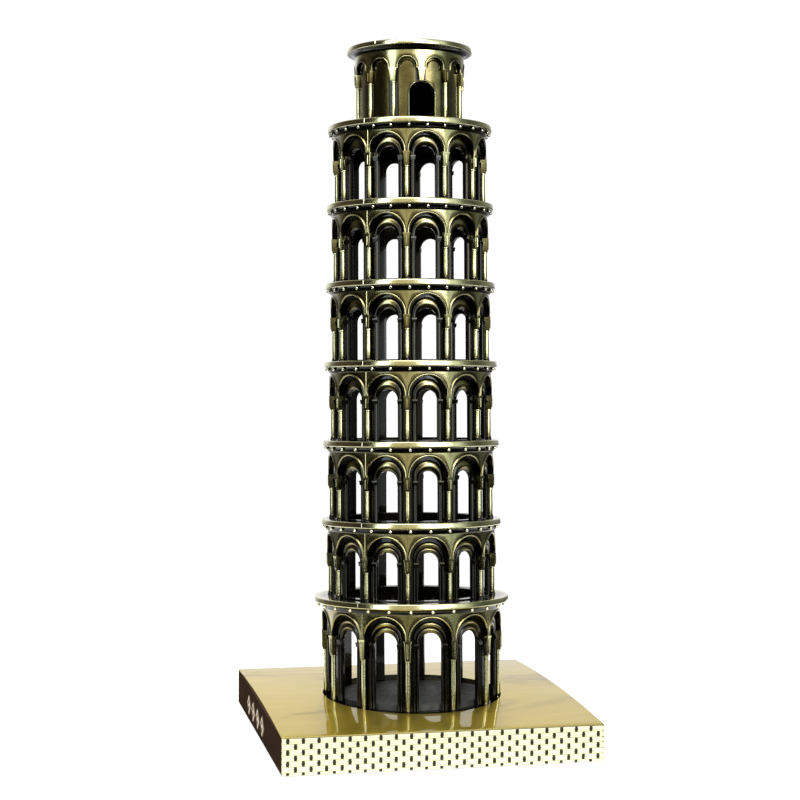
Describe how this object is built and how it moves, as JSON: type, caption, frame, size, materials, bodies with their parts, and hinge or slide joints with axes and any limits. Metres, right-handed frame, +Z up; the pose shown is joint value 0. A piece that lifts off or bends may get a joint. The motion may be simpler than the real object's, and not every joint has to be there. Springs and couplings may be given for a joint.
{
  "type": "miniature landmark model",
  "caption": "Souvenir model of a leaning round bell tower with open arcades and a narrower belfry, on a square base with brick-pattern sides.",
  "frame": {"origin": "centre of the base's footprint, on the surface it stands on", "axes": "+Z up; the belfry doorway and the brick front of the base face -Y; the tower leans towards +Y"},
  "size_m": [0.08, 0.08, 0.1786],
  "materials": {
    "antique_brass": "cast, antique plated, dark patina in the recesses and rubbed bright on the edges",
    "polished_brass": "polished and lacquered pale brass",
    "dark_patina": "dark, matt oxidised",
    "zinc_steel": "zinc plated",
    "black_felt": "short pressed felt"
  },
  "bodies": {
    "root": {"base_shell": "polished_brass", "base_closing_plate": "zinc_steel", "base_felt": "black_felt", "plate_screw_1": "zinc_steel", "plate_screw_2": "zinc_steel", "plate_screw_3": "zinc_steel", "plate_screw_4": "zinc_steel", "tower_screw_1": "zinc_steel", "tower_screw_2": "zinc_steel", "tower_screw_3": "zinc_steel", "ground_floor_disc": "dark_patina", "storey_1_arcade": "antique_brass", "gallery_ring_1": "antique_brass", "storey_2_arcade": "antique_brass", "gallery_ring_2": "antique_brass", "storey_3_arcade": "antique_brass", "gallery_ring_3": "antique_brass", "storey_4_arcade": "antique_brass", "gallery_ring_4": "antique_brass", "storey_5_arcade": "antique_brass", "gallery_ring_5": "antique_brass", "storey_6_arcade": "antique_brass", "gallery_ring_6": "antique_brass", "storey_7_arcade": "antique_brass", "gallery_ring_7": "antique_brass", "belfry_drum": "antique_brass", "belfry_cornice": "antique_brass", "belfry_roof": "antique_brass"}
  },
  "joints": []
}
